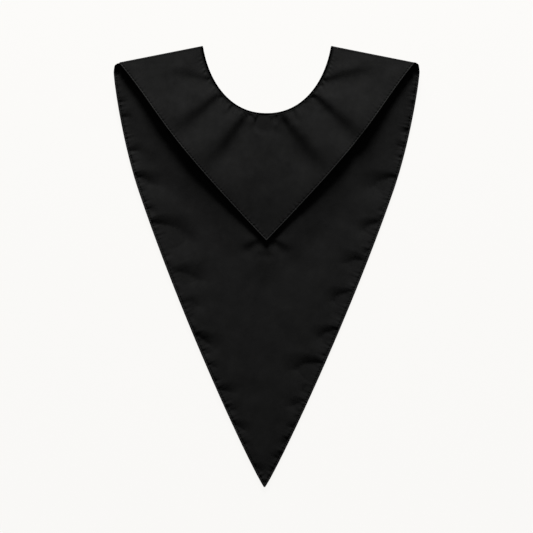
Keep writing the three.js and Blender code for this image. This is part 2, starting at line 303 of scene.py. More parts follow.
def gatherDip(x, depth, fold):
    # a wedge pressed into the cloth: it sinks by a power of the distance from its upper
    # border, and comes up again by an exponential past its lower one
    part, down, width, slope = foldPlace(x, depth, fold, cloth["dipGrowth"])
    share = down / width
    sunk = np.clip(1 + share, 0, 1) ** cloth["dipPower"]
    dip = sunk * np.exp(-np.maximum(share, 0) / cloth["dipReach"])
    return -slope * width / cloth["dipPower"] * dip * foldEnds(part, cloth["dipFade"])


# the front, with gathers along its hem as (depth on the edge, reach inwards, fall, strength)
frontPanel = dict(
    rows=440, neckRows=98, bendRows=8, bendRadius=foldRadius - layer,
    hemColumns=17, columns=30, neckShare=0.205,
    fallStart=0, fallRun=46, rest=3.0, rippleReach=4.5,
    pressed=60, pressedRun=50, looseRun=25,  # where the collar holds it down
    droops=(0.9, 1.9), droopReach=16, droopSpan=80,  # of its hems, left and right
    tabHump=7.4, tabHumpRun=5.4, tabHumpStart=-0.6, tabHumpWidth=1.2,
    gatherWidths=(2.6, 3.2), gatherSpread=0.7, gatherLength=1.25, gatherSlopes=(0.27, 0.15),
    gatherDrop=0.4, gatherStart=0.5, gatherRise=2.5,
    gatherSides=(1.2, 1.5),  # their strength at the left and the right
    leftShift=700,  # the left hem's ripples start further on
    ridge=0.2, reach=1.3, lowest=0.15,
    left=[
        (78, 12, -3, 0.4), (100, 15, -4, 0.7), (146, 19, -2, 0.7), (158, 9, 5, 0.4),
        (181, 33, 8, 1.0), (202, 8, 2, 0.4), (215, 8, 2, 0.4), (226, 15, 4, 0.7),
        (248, 55, 12, 1.0), (266, 12, 4, 0.5), (278, 6, 2, 0.3), (290, 10, 3, 0.4),
        (307, 10, 3, 0.55), (321, 46, -2, 1.0), (342, 8, 2, 0.4), (362, 29, -1, 0.75),
        (378, 12, 4, 0.45), (396, 8, 2, 0.4), (405, 28, 12, 1.0), (430, 14, 1, 0.7),
        (448, 17, 2, 0.5), (470, 10, 0, 0.55), (484, 25, -1, 0.75), (509, 14, 2, 0.7),
        (531, 22, 8, 0.5), (557, 12, 4, 0.3), (591, 18, 7, 0.35),
    ],
    right=[
        (64, 8, 2, 0.4), (80, 8, 2, 0.4), (105, 6, -3, 0.4), (116, 11, 3, 0.65),
        (144, 12, -8, 0.65), (154, 9, 2, 0.4), (185, 37, 5, 0.9), (217, 8, 2, 0.4),
        (227, 10, 3, 0.55), (240, 8, 2, 0.4), (249, 29, 5, 1.0), (277, 8, 2, 0.55),
        (287, 12, 3, 0.65), (304, 32, -6, 1.0), (322, 14, 5, 0.7), (341, 8, 2, 0.4),
        (350, 32, 2, 1.0), (361, 8, 2, 0.4), (372, 13, 6, 0.7), (401, 29, 4, 1.0),
        (417, 8, 2, 0.4), (435, 10, 0, 0.5), (450, 41, -3, 1.0), (469, 9, 0, 0.4),
        (483, 15, 0, 0.7), (505, 25, -3, 0.7), (522, 8, 2, 0.3), (535, 14, 1, 0.35),
        (551, 14, 8, 0.4), (575, 14, 4, 0.35), (595, 8, 2, 0.2),
    ],
    # folds under the collar's tip, as (x, depth, to x, to depth, width, end width, slope,
    # end slope)
    folds=[
        (-9, 273, -33, 288, 4, 14, 0.26, 0.12),
        (10, 273, 34, 290, 4, 14, 0.26, 0.12),
        (-14, 292, 14, 294, 6, 8, 0.08, 0.08),
    ],
    clouds=waveTable(cloth["cloudWaves"], cloth["cloudLengths"]),
    ripples=rippleTable(),
)


def distanceOutside(edge, x, depth):
    # how far a point lies outside a V-shaped edge: its half-width, rounded at the middle like a
    # hypotenuse, less the edge's, times the sides' slant
    return (np.hypot(x, cut["tipRound"]) - halfWidthAt(edge, depth)) * cut["slant"]


def gatherHeight(x, depth):
    # for each row of the tables, a wedge that starts at the hem and widens inwards
    own, total = frontPanel, np.zeros(np.shape(x))
    length, (startWidth, endWidth) = own["gatherLength"], own["gatherWidths"]
    steep, gentle = own["gatherSlopes"]
    lefts, rights = own["gatherSides"]
    for side, share, rows in ((-1, lefts, own["left"]), (1, rights, own["right"])):
        for edgeDepth, reach, fall, strength in rows:
            edgeX = side * halfWidthAt("frontPanel", edgeDepth)
            spread = endWidth + own["gatherSpread"] * reach
            drop = own["gatherDrop"] * spread
            fold = (edgeX, edgeDepth, edgeX - side * length * reach,
                    edgeDepth + length * fall + drop, startWidth, spread,
                    share * steep * np.sqrt(strength), share * gentle * np.sqrt(strength))
            total += gatherDip(x, depth, fold)
    return total


def cloudHeight(table, x, depth, inside):
    # the cloth's slow waves, eased out towards its hem
    return cloth["cloudHeight"] * waves(table, x, depth) * ease(inside / cloth["cloudEdge"])


def frontTop(x, depth):
    # upper face: the pile's height, falling past the back's edge, with the relief where no
    # collar presses on it, less an exponential droop at its hem, and outside the collar's
    # corner an exponential crest along the fold
    own = frontPanel
    along, inside = placeOnEdge("frontPanel", x, depth)
    outside = distanceOutside("backPanel", x, depth)
    fall = 1 - ease((outside - own["fallStart"]) / own["fallRun"])
    fromFold = depth - foldDepth(np.abs(x))
    outsideCollar = distanceOutside("frontCollar", x, depth)
    loose = ease((outsideCollar + own["pressed"]) / own["pressedRun"])
    loose = loose * ease(fromFold / own["looseRun"])
    clouds = cloudHeight(own["clouds"], x, depth, inside)
    folds = sum(foldHeight(x, depth, fold, own["ridge"], own["reach"]) for fold in own["folds"])
    gathered = ease((inside - own["gatherStart"]) / own["gatherRise"])
    folds = folds + gatherHeight(x, depth) * gathered
    droop = blendOf(*own["droops"], ease(x / own["droopSpan"] + 0.5))
    droop = droop * np.exp(-np.maximum(inside, 0) / own["droopReach"])
    laidOn = np.maximum(own["rest"] + clouds + folds - droop, own["lowest"])
    height = 2 * layer * fall + wall + laidOn * loose
    hump = own["tabHump"] * np.exp(-np.maximum(fromFold, 0) / own["tabHumpRun"])
    hump = hump * ease((outsideCollar - own["tabHumpStart"]) / own["tabHumpWidth"])
    along = along + own["leftShift"] * (x < 0)
    ripple = hemRipple(along, inside, own["ripples"], own["rippleReach"])
    hem = ripple + hemProfile(inside, cloth["panelStitch"])
    return np.maximum(height + hump + hem, wall)


# the front's collar; its folds run from the neck seam and have the same columns
frontCollar = dict(
    rows=210, bendRows=8, bendRadius=foldRadius, hemColumns=17, columns=40,
    edgeLift=10.2, tipLift=4.2, tipRun=128, tipCurl=1.2, curlRun=14, liftRun=100,
    foldLift=0.74, liftGrowth=95, seat=0.7, seatFall=10, seatRun=30, ridge=0.4, reach=2.1,
    folds=[
        (17, 92, 76, 172, 4, 25, 0.30, 0.22), (-25, 91, -81, 168, 4, 23, 0.30, 0.20),
        (-64, 65, -130, 123, 4, 20, 0.30, 0.18), (65, 66, 135, 134, 4, 21, 0.32, 0.22),
        (78, 49, 158, 26, 4, 19, 0.30, 0.13), (-79, 47, -140, 32, 4, 17, 0.24, 0.10),
        (-9, 92, -20, 116, 3, 9, 0.28, 0.14), (2, 93, 9, 118, 3, 9, 0.26, 0.12),
        (11, 93, 17, 108, 3, 6, 0.24, 0.10), (-47, 81, -58, 97, 3, 7, 0.20, 0.10),
        (36, 87, 46, 106, 3, 8, 0.20, 0.10), (52, 78, 62, 92, 2, 5, 0.14, 0.08),
        (90, 20, 103, 16, 2, 5, 0.12, 0.08),
    ],
    rippleReach=4.5, rippleShare=0.5, leftShift=400,
    neckGather=1.3, neckReach=2.3, neckRadius=110,  # small gathers along the neck seam
    clouds=waveTable(cloth["cloudWaves"], cloth["cloudLengths"]),
    ripples=rippleTable(), neckRipples=rippleTable(),
)


def frontCollarTop(x, depth):
    # upper face: seated on the front at the neck and shoulders, lifting in a straight line
    # towards its free edge, with an exponential curl at its tip, and the relief on it
    own = frontCollar
    along, inside = placeOnEdge("frontCollar", x, depth)
    fromNeck = np.abs(placeOnEdge("neck", x, depth)[1])
    towardsTip = ease((collarTip - depth) / own["tipRun"])
    edgeLift = blendOf(own["tipLift"], own["edgeLift"], towardsTip)
    fromEdge = -distanceOutside("frontCollar", x, depth)
    lift = np.clip(1 - fromEdge / own["liftRun"], 0, 1)
    fromFold = depth - foldDepth(np.abs(x))
    grown = ease(fromFold / own["liftGrowth"])
    lift = edgeLift * lift * blendOf(own["foldLift"], 1, grown)
    aboveTip = np.maximum(collarTip - depth, 0)
    lift = lift + own["tipCurl"] * np.exp(-aboveTip / own["curlRun"])
    folds = sum(foldHeight(x, depth, fold, own["ridge"], own["reach"]) for fold in own["folds"])
    neckAlong = np.arctan2(x, depth + cut["neckRise"]) * own["neckRadius"]
    fromSeam = fromNeck - 2 * neckSeam["radius"]
    gather = hemRipple(neckAlong, fromSeam, own["neckRipples"], own["neckReach"])
    clouds = cloudHeight(own["clouds"], x, depth, inside)
    relief = folds + own["neckGather"] * gather + clouds
    relief = relief * ease(fromFold / own["seatRun"])
    seated = 1 - np.exp(-np.maximum(fromFold, 0) / own["seatFall"])
    relief = relief + own["seat"] * seated
    along = along + own["leftShift"] * (x < 0)
    ripple = hemRipple(along, inside, own["ripples"], own["rippleReach"])
    hem = own["rippleShare"] * ripple + hemProfile(inside, cloth["collarStitch"])
    height = np.maximum(lift + relief, 0) + hem * ease(fromFold / cloth["hemStart"])
    return 2 * foldRadius + height


# the back: plain, under the front, with its outer face down
backPanel = dict(rows=120, neckRows=50, bendRows=8, bendRadius=foldRadius - layer,
                 hemColumns=12, columns=14, neckShare=0.34)
backCollar = dict(rows=110, bendRows=8, bendRadius=foldRadius, hemColumns=12, columns=14)


def backPanelFace(x, depth):
    # lower face: flat on the back's collar, with the hem's relief turned down
    inside = placeOnEdge("backPanel", x, depth)[1]
    return layer - np.minimum(hemProfile(inside, cloth["panelStitch"]), 0)


def backCollarFace(x, depth):
    # lower face: flat on the table, with only the hem's groove and rounding cut into it
    inside = placeOnEdge("backCollar", x, depth)[1]
    fromFold = depth - foldDepth(np.abs(x))
    cutIn = np.minimum(hemProfile(inside, cloth["collarStitch"]), 0)
    return -cutIn * ease(fromFold / cloth["hemStart"])


# the neck seam; the panels end beside it and the collars inside it
neckSeam = dict(radius=1.6, raised=0.35, panelOffset=3.3, collarOffset=2.8, shade=0.95,
                steps=420, turnSteps=14, sides=16, tangentStep=1e-4,
                gatherPitch=5.2, gatherDepth=0.04, ringStep=0.68, drift=7)
grid = dict(hemWidth=8.0, mostHem=0.45,  # a hem's columns reach this far in
            cosineShare=0.55, evenShare=0.45,  # of the other columns' steps
            leastLength=1e-6, weld=0.0005)


def pointsAt(table, spots):
    # a table's two columns read at broken row numbers, in straight lines between its rows
    rows = np.arange(len(table))
    return np.stack([np.interp(spots, rows, table[:, k]) for k in (0, 1)], axis=-1)


def rowPlaces(inner, outer, plan):
    # each row runs from its inner to its outer point: even steps over the hem, then steps
    # that grow towards the row's middle and shrink again by a cosine, mixed with even ones
    gap = inner - outer
    length = np.hypot(*gap.T)[:, None]
    hem = np.linspace(0, 1, plan["hemColumns"])
    t = np.linspace(0, 1, plan["columns"] + 1)[1:]
    rest = grid["cosineShare"] * (1 - np.cos(np.pi * t)) / 2 + grid["evenShare"] * t
    hemLength = np.minimum(grid["hemWidth"], grid["mostHem"] * length)
    fromEdge = np.hstack([hem[None] * hemLength, hemLength + rest[None] * (length - hemLength)])
    share = fromEdge[:, ::-1] / np.maximum(length, grid["leastLength"])
    return outer[:, None, :] + share[..., None] * gap[:, None, :]


def panelPlaces(edge, plan):
    # upper rows end on the neckline and lower ones on the centre line
    offset, neckRows, line = neckSeam["panelOffset"], plan["neckRows"], edges[edge]
    lowerRows = plan["rows"] - neckRows + 1
    angles = necklineEnd(offset) * (1 - np.arange(neckRows) / neckRows)
    centre = np.linspace(neckline(offset, 0.0)[1], line[-1, 1], lowerRows)
    inner = np.vstack([neckline(offset, angles), np.stack([0 * centre, centre], axis=1)])
    shares = np.concatenate([
        np.linspace(0, plan["neckShare"], neckRows, endpoint=False),
        np.linspace(plan["neckShare"], 1, lowerRows)])
    outer = pointsAt(line, shares * (len(line) - 1))
    return rowPlaces(inner, outer, plan)


def collarPlaces(edge, plan):
    # rows fan out from the neckline to the collar's edge
    offset, line = neckSeam["collarOffset"], edges[edge]
    shares = np.linspace(0, 1, plan["rows"] + 1)
    inner = neckline(offset, necklineEnd(offset) * (1 - shares))
    outer = pointsAt(line, shares * (len(line) - 1))
    return rowPlaces(inner, outer, plan)


def laid(edge, x, depth, height):
    # places as points in the frame, leaned in proportion to their depth; the neckline and the
    # front's collar lie to the right and the panels' fold outside it rises, by eased shares
    nearNeck = 1 - ease((np.hypot(x, depth) - cut["neckHalfWidth"]) / cut["neckFade"])
    leaned = x + leanStart + cut["tipLean"] * depth / cut["length"] + cut["neckShift"] * nearNeck
    if edge == "frontCollar":
        leaned = leaned + cut["collarSway"] * ease(depth / cut["swayRun"]) * (1 - nearNeck)
    if edge in ("frontPanel", "backPanel"):
        outwards = ease((np.abs(x) - cut["tabStart"]) / cut["tabRun"])
        below = (depth - foldDepth(np.abs(x))) / cut["tabDepth"]
        depth = depth - np.where(x < 0, *cut["tabRises"]) * outwards * (1 - ease(below))
    return np.stack([leaned, neckLevel - depth, height], axis=-1)


def bentRows(row, side, count, radius):
    # the first row carried round the shoulder's fold by a quarter turn, as an arc that is a
    # circle's where the row lies flat and an ellipse's where it is lifted
    turn = np.linspace(1, 0, count, endpoint=False)[:, None] * (np.pi / 2 - cut["turnShort"])
    outward = np.array([side * np.sin(cut["slope"]), np.cos(cut["slope"])])
    points = np.repeat(row[None], count, axis=0)
    points[..., :2] += radius * np.sin(turn)[..., None] * outward
    points[..., 2] = foldRadius + (row[:, 2] - foldRadius) * np.cos(turn)
    return points


def halved(a, b, c, d):
    # two triangles for each four-sided face, cut from its first to its third corner
    return np.vstack([np.stack([a, b, c], 1), np.stack([a, c, d], 1)])


def gridFaces(rows, columns, flip):
    # a grid's cells in triangles, with their first corner at the cell's low row and column
    number = np.arange(rows * columns).reshape(rows, columns)
    a, b = number[:-1, :-1].ravel(), number[1:, :-1].ravel()
    c, d = number[1:, 1:].ravel(), number[:-1, 1:].ravel()
    faces = halved(a, b, c, d)
    return faces[:, ::-1] if flip else faces


def newObject(name, data):
    # an object at the origin
    made = bpy.data.objects.new(name, data)
    bpy.context.scene.collection.objects.link(made)
    return made


def meshPiece(name, points, faces):
    # a smooth mesh as an object
    mesh = bpy.data.meshes.new(name)
    mesh.from_pydata((points * mm).tolist(), [], faces.tolist())
    mesh.polygons.foreach_set("use_smooth", np.ones(len(mesh.polygons), bool))
    mesh.update()
    return newObject(name, mesh)


def weldedMesh(name, points, faces, places=None):
    # points whose places round to the same step become one, faces that lose a side are dropped,
    # and the places on the hem become an attribute
    keys = np.round(points / grid["weld"]).astype(np.int64)
    _, first, number = np.unique(keys, axis=0, return_index=True, return_inverse=True)
    faces = number.ravel()[faces]
    a, b, c = faces.T
    faces = faces[(a != b) & (b != c) & (c != a)]
    piece = meshPiece(name, points[first], faces)
    if places is not None:
        attribute = piece.data.attributes.new("hemPlace", "FLOAT_VECTOR", "POINT")
        marks = (places[first] * mm).astype(np.float32)
        attribute.data.foreach_set("vector", marks.ravel())
    return piece


def clothSheet(name, places, face, plan, faceSign):
    # both halves of a cloth's outer face as one mesh, thickened inwards; a point's marks are
    # its place along and inside the hem, and the smaller distance from neck seam and fold
    points, faces, marks, start = [], [], [], 0
    for side in (1, -1):
        x, depth = side * places[..., 0], places[..., 1]
        half = laid(name, x, depth, face(x, depth))
        along, inside = placeOnEdge(name, x, depth)
        fromNeck = np.abs(placeOnEdge("neck", x, depth)[1])
        # fromSeam and fromTurn set where painted shade darkens the cloth beside the neck seam and the
        # shoulder fold
        fromSeam = fromNeck - 2 * neckSeam["radius"] - neckSeam["shade"]
        fromTurn = np.maximum(np.minimum(fromSeam, depth - foldDepth(np.abs(x))), 0)
        mark = np.stack([along, inside, fromTurn], axis=-1)
        bent = bentRows(half[0], side, plan["bendRows"], plan["bendRadius"])
        half = np.concatenate([bent, half])
        mark = np.concatenate([np.repeat(mark[:1], plan["bendRows"], axis=0), mark])
        rows, columns = half.shape[:2]
        faces.append(gridFaces(rows, columns, side * faceSign < 0) + start)
        points.append(half.reshape(-1, 3))
        marks.append(mark.reshape(-1, 3))
        start += rows * columns
    piece = weldedMesh(name, np.vstack(points), np.vstack(faces), np.vstack(marks))
    thickness = piece.modifiers.new("thickness", "SOLIDIFY")
    thickness.thickness = wall * mm
    thickness.offset = -1
    thickness.use_even_offset = False
    print(name, len(piece.data.vertices), "points on its face")
    return piece


# the stitches: their pitches, the thread's share of a pitch, and each one's tube
stitch = dict(panelPitch=3.6, collarPitch=4.25, share=0.54, radius=0.24, endShare=0.35,
              rings=6, sides=6, rise=0.9, sink=0.16, skip=5)
panelHem = (stitch["panelPitch"], cloth["panelStitch"])
collarHem = (stitch["collarPitch"], cloth["collarStitch"])


def capFaces(ring):
    # a fan of triangles from each ring's first point
    fan = np.arange(1, ring.shape[1] - 1)
    hub = np.repeat(ring[:, :1], len(fan), 1)
    return np.stack([hub, ring[:, fan], ring[:, fan + 1]], -1).reshape(-1, 3)


def stitchRun(name, edge, face, faceSign, pitch, inset):
    # threads in a row along an edge, each a round tube whose height follows half a sine from
    # end to end and whose radius its root, so both ends dive into the cloth
    line = edges[edge]
    spacing = np.hypot(*(line[1] - line[0]))
    total = spacing * (len(line) - 1)
    middles = np.arange(stitch["skip"], total - stitch["skip"], pitch)
    t = np.linspace(0, 1, stitch["rings"])
    along = middles[:, None] + (t - 0.5) * stitch["share"] * pitch
    spots = along / spacing
    inward = pointsAt(directionsOf(line)[1], spots)
    spot = pointsAt(line, spots) + inward * inset
    arch = np.sin(np.pi * t)
    rise = stitch["rise"] * stitch["radius"] * arch - stitch["sink"] * (1 - arch)
    radius = stitch["radius"] * blendOf(stitch["endShare"], 1, np.sqrt(arch))
    points, faces, start = [], [], 0
    for side in (1, -1):
        x, depth = side * spot[..., 0], spot[..., 1]
        height = face(x, depth) + faceSign * rise
        middle = laid(edge, x, depth, np.maximum(height, stitch["radius"]))
        across = np.stack([side * inward[..., 0], -inward[..., 1], 0 * inward[..., 0]], axis=-1)
        around = np.linspace(0, 2 * np.pi, stitch["sides"], endpoint=False)[:, None]
        ring = across[..., None, :] * np.cos(around) + np.array([0, 0, 1]) * np.sin(around)
        tube = middle[..., None, :] + ring * radius[None, :, None, None]
        count, rings, sides = tube.shape[:3]
        number = np.arange(count * rings * sides).reshape(count, rings, sides) + start
        following = np.roll(number, -1, axis=2)
        a, b = number[:, :-1].ravel(), following[:, :-1].ravel()
        c, d = following[:, 1:].ravel(), number[:, 1:].ravel()
        caps = [capFaces(number[:, 0])[:, ::-1], capFaces(number[:, -1])]
        block = np.vstack([halved(a, b, c, d), *caps])
        faces.append(block[:, ::-1] if side > 0 else block)
        points.append(tube.reshape(-1, 3))
        start += count * rings * sides
    piece = meshPiece(name, np.vstack(points), np.vstack(faces))
    print(name, 2 * len(middles), "stitches")
    return piece


def neckSeamRing(name):
    # a round section along the front's neckline, by a half turn over the fold, along the
    # back's and up again; its radius ripples by a cosine whose phase drifts with a sine
    own = neckSeam
    radius, step = own["radius"], own["tangentStep"]
    endAngle = necklineEnd(radius)
    sweep = np.linspace(-endAngle, endAngle, own["steps"])
    turn = np.linspace(0, np.pi, own["turnSteps"] + 2)[1:-1]
    angle = np.concatenate([sweep, 0 * turn + endAngle, sweep[::-1], 0 * turn - endAngle])
    lie = np.concatenate([0 * sweep, turn, 0 * sweep + np.pi, turn[::-1]])
    place = neckline(radius, angle)
    tangent = neckline(radius, angle + step) - neckline(radius, angle - step)
    tangent /= np.hypot(*tangent.T)[:, None]
    flat = 0 * angle
    outwardEnd = np.where(angle < 0, -1, 1)
    forward = np.stack([tangent[:, 0] * outwardEnd, -tangent[:, 1] * outwardEnd, flat], axis=1)
    across = np.stack([tangent[:, 1], tangent[:, 0], flat], axis=1)
    up = forward * np.sin(lie)[:, None] + np.stack([flat, flat, np.cos(lie)], axis=1)
    centre = laid("neck", place[:, 0], place[:, 1], foldRadius + flat)
    centre = centre + up * (foldRadius / 2 + (layer - wall) / 4)
    centre[:, 2] = np.maximum(centre[:, 2] + own["raised"] * (1 + np.cos(lie)) / 2, radius)
    around = np.linspace(0, 2 * np.pi, own["sides"], endpoint=False)[:, None]
    travelled = np.arange(len(angle)) * own["ringStep"]
    drift = np.sin(travelled / own["drift"])
    ripple = np.cos(2 * np.pi * travelled / own["gatherPitch"] + drift)
    size = radius * (1 - own["gatherDepth"] * (0.5 + 0.5 * ripple))
    ring = across[:, None] * np.cos(around) + up[:, None] * np.sin(around)
    tube = centre[:, None] + ring * size[:, None, None]
    rings, sides = tube.shape[:2]
    number = np.arange(rings * sides).reshape(rings, sides)
    a, b = number.ravel(), np.roll(number, -1, axis=0).ravel()
    c = np.roll(np.roll(number, -1, axis=0), -1, axis=1).ravel()
    d = np.roll(number, -1, axis=1).ravel()
    return weldedMesh(name, tube.reshape(-1, 3), halved(a, b, c, d)[:, ::-1])


weaveLook = dict(pitch=0.00042, crossing=0.5, slubScale=900, slubDetail=2, slubGain=0.6,
                 slubLeast=0.7, toneGain=0.12, toneLeast=0.86)
mottleLook = dict(layers=((45, 0.5), (110, 0.45), (500, 0.35)),  # scales and shares
                  detail=3, gain=4.0, lintScale=160, lintSize=0.06, lintRarity=0.93)
# places and widths of the hem's masks for painted shade and painted highlight
hemLook = dict(holeSharpness=1.5, holeWidth=0.95, lipPlace=0.42, lipWidth=0.75, rimWidth=1.2,
               turnWidth=0.9)


def nodeGroup(name, inputs, outputs):
    # an empty group with its sockets
    group = bpy.data.node_groups.new(name, "ShaderNodeTree")
    for label, value in inputs.items():
        socket = group.interface.new_socket(name=label, in_out="INPUT", socket_type="NodeSocketFloat")
        socket.default_value = value
    for label in outputs:
        group.interface.new_socket(name=label, in_out="OUTPUT", socket_type="NodeSocketFloat")
    return group, group.nodes.new("NodeGroupInput"), group.nodes.new("NodeGroupOutput")


def fill(node, values):
    # values straight onto a node's sockets
    for label, value in values.items():
        node.inputs[label].default_value = value
    return node


def calculate(tree, operation, *values):
    # a Math node, whose inputs are numbers or other nodes' sockets
    node = tree.nodes.new("ShaderNodeMath")
    node.operation = operation
    for socket, value in zip(node.inputs, values):
        if isinstance(value, (int, float)):
            socket.default_value = value
        else:
            tree.links.new(value, socket)
    return node.outputs[0]


def give(group, result, **values):
    # values to a group's outputs of the same names
    for label, value in values.items():
        group.links.new(value, result.inputs[label])


def product(tree, a, b):
    return calculate(tree, "MULTIPLY", a, b)


def scaled(tree, a, b, c):
    # a times b, plus c
    return calculate(tree, "MULTIPLY_ADD", a, b, c)


def objectPlace(tree):
    # a point's Object coordinates
    return tree.nodes.new("ShaderNodeTexCoord").outputs["Object"]


def partsOf(tree, vector):
    # a vector's three parts
    split = tree.nodes.new("ShaderNodeSeparateXYZ")
    tree.links.new(vector, split.inputs[0])
    return split.outputs


def noiseAt(tree, place, scale, detail):
    # smooth noise between 0 and 1
    noise = tree.nodes.new("ShaderNodeTexNoise")
    fill(noise, {"Scale": scale, "Detail": detail})
    tree.links.new(place, noise.inputs["Vector"])
    return noise.outputs[0]


def makeWeave():
    # plain weave: over and under is the product of a sine across and a sine along the
    # cloth, and each thread's roundness is the larger of the two sines' sizes; fine noise
    # makes the threads uneven
    group, given, result = nodeGroup("plainWeave", {"Pitch": weaveLook["pitch"]},
                                     ["Height", "Tone"])
    place, sines = objectPlace(group), []
    for distance in partsOf(group, place)[:2]:
        turns = calculate(group, "DIVIDE", distance, given.outputs["Pitch"])
        sines.append(calculate(group, "SINE", product(group, turns, np.pi)))
    crossing = product(group, *sines)
    roundness = calculate(group, "MAXIMUM", *[calculate(group, "ABSOLUTE", s) for s in sines])
    height = scaled(group, crossing, weaveLook["crossing"], roundness)
    slub = noiseAt(group, place, weaveLook["slubScale"], weaveLook["slubDetail"])
    uneven = scaled(group, slub, weaveLook["slubGain"], weaveLook["slubLeast"])
    tone = scaled(group, height, weaveLook["toneGain"], weaveLook["toneLeast"])
    give(group, result, Height=product(group, height, uneven), Tone=tone)
    return group


def makeMottle():
    # slow and fast noise as a tone about one, and rare pale flecks of lint as a mask
    group, given, result = nodeGroup("mottledCloth", {"Amount": 0.1}, ["Tone", "Lint"])
    place, tone = objectPlace(group), None
    for scale, share in mottleLook["layers"]:
        noise = noiseAt(group, place, scale, mottleLook["detail"])
        centred = calculate(group, "SUBTRACT", noise, 0.5)
        centred = product(group, centred, share)
        tone = centred if tone is None else calculate(group, "ADD", tone, centred)
    amount = product(group, tone, given.outputs["Amount"])
    tone = scaled(group, amount, mottleLook["gain"], 1.0)
    cells = group.nodes.new("ShaderNodeTexVoronoi")
    fill(cells, {"Scale": mottleLook["lintScale"]})
    group.links.new(place, cells.inputs["Vector"])
    near = calculate(group, "LESS_THAN", cells.outputs["Distance"], mottleLook["lintSize"])
    pick = group.nodes.new("ShaderNodeSeparateColor")
    group.links.new(cells.outputs["Color"], pick.inputs[0])
    rare = calculate(group, "GREATER_THAN", pick.outputs[0], mottleLook["lintRarity"])
    give(group, result, Tone=tone, Lint=product(group, near, rare))
    return group


def gaussian(tree, place, middle, width):
    # e to the minus square of a place's distance from a middle, in widths
    away = calculate(tree, "SUBTRACT", place, middle)
    offset = calculate(tree, "DIVIDE", away, width * mm)
    squared = calculate(tree, "POWER", offset, 2)
    return calculate(tree, "EXPONENT", product(tree, squared, -1))


def makeHem():
    # masks from each point's place on its hem: holes between the stitches, by a power of a
    # cosine along it times a Gaussian across, and Gaussians for the lip, rim and cloth's turn
    # the masks place painted shade in the holes, at the rim and beside the turn, and a painted
    # highlight on the lip
    group, given, result = nodeGroup("stitchedHemShading", {"Pitch": 0.0036, "Stitch": 0.003},
                                     ["Hole", "Lip", "Rim", "Turn"])
    place = group.nodes.new("ShaderNodeAttribute")
    place.attribute_name = "hemPlace"
    along, inside, fromTurn = partsOf(group, place.outputs["Vector"])
    fromFirst = calculate(group, "SUBTRACT", along, stitch["skip"] * mm)
    turns = calculate(group, "DIVIDE", fromFirst, given.outputs["Pitch"])
    wave = calculate(group, "COSINE", product(group, turns, 2 * np.pi))
    between = scaled(group, wave, -0.5, 0.5)
    between = calculate(group, "POWER", between, hemLook["holeSharpness"])
    stitchAt = given.outputs["Stitch"]
    line = gaussian(group, inside, stitchAt, hemLook["holeWidth"])
    lip = product(group, stitchAt, hemLook["lipPlace"])
    give(group, result, Hole=product(group, between, line),
         Lip=gaussian(group, inside, lip, hemLook["lipWidth"]),
         Rim=gaussian(group, inside, 0, hemLook["rimWidth"]),
         Turn=gaussian(group, fromTurn, 0, hemLook["turnWidth"]))
    return group


weaveGroup, mottleGroup, hemGroup = makeWeave(), makeMottle(), makeHem()


def placed(tree, group, **values):
    # a group node with its values
    node = tree.nodes.new("ShaderNodeGroup")
    node.node_tree = group
    return fill(node, values)


def tinted(tree, colour, tone):
    # a colour times a tone, part by part
    mix = tree.nodes.new("ShaderNodeMix")
    mix.data_type = "RGBA"
    mix.blend_type = "MULTIPLY"
    mix.inputs["Factor"].default_value = 1
    mix.inputs["A"].default_value = (*colour, 1)
    combine = tree.nodes.new("ShaderNodeCombineColor")
    for socket in combine.inputs:
        tree.links.new(tone, socket)
    tree.links.new(combine.outputs[0], mix.inputs["B"])
    return mix.outputs["Result"]


def newMaterial(name, colour, roughness, specular):
    # a material with one even surface
    material = bpy.data.materials.new(name)
    material.use_nodes = True
    tree = material.node_tree
    shader = tree.nodes["Principled BSDF"]
    fill(shader, {"Base Color": (*colour, 1), "Roughness": roughness,
                  "Specular IOR Level": specular})
    return material, tree, shader


def bumped(tree, shader, height, distance, strength):
    # the surface's normal from a height
    bump = tree.nodes.new("ShaderNodeBump")
    fill(bump, {"Strength": strength, "Distance": distance})
    tree.links.new(height, bump.inputs["Height"])
    tree.links.new(bump.outputs[0], shader.inputs["Normal"])


# the holes' tone change is painted shade in the stitch holes, and the turn's is painted shade beside
# the neck seam and fold
clothLook = dict(lint=0.5, weaveHeight=0.05, holeShade=-0.97, turn=-0.92, holeDepth=0.3, polish=0.1,
                 bump=0.6)


def clothMaterial(name, colour, roughness, specular, mottle, rim, lip=0.0, hem=None):
    # a colour times the tones of weave and mottle, plus lint; on a hem each mask times its
    # change, added to one, multiplies the tone too, and the holes are sunk
    material, tree, shader = newMaterial(name, colour, roughness, specular)
    weave = placed(tree, weaveGroup, Pitch=weaveLook["pitch"])
    cloudy = placed(tree, mottleGroup, Amount=mottle)
    tone = product(tree, weave.outputs["Tone"], cloudy.outputs["Tone"])
    tone = scaled(tree, cloudy.outputs["Lint"], clothLook["lint"], tone)
    height = product(tree, weave.outputs["Height"], clothLook["weaveHeight"])
    if hem:
        pitch, stitchAt = hem
        marks = placed(tree, hemGroup, Pitch=pitch * mm, Stitch=stitchAt * mm)
        # the lip's change is a painted highlight; the rim's, turn's and holes' changes are painted
        # shade
        changes = dict(Hole=clothLook["holeShade"], Lip=lip, Rim=rim, Turn=clothLook["turn"])
        for mask, change in changes.items():
            factor = scaled(tree, marks.outputs[mask], change, 1)
            tone = product(tree, tone, factor)
        sunk = product(tree, marks.outputs["Hole"], clothLook["holeDepth"])
        height = calculate(tree, "SUBTRACT", height, sunk)
    tree.links.new(tinted(tree, colour, tone), shader.inputs["Base Color"])
    rough = scaled(tree, cloudy.outputs["Tone"], -clothLook["polish"],
                      roughness + clothLook["polish"])
    tree.links.new(rough, shader.inputs["Roughness"])
    bumped(tree, shader, height, mm, clothLook["bump"])
    return material


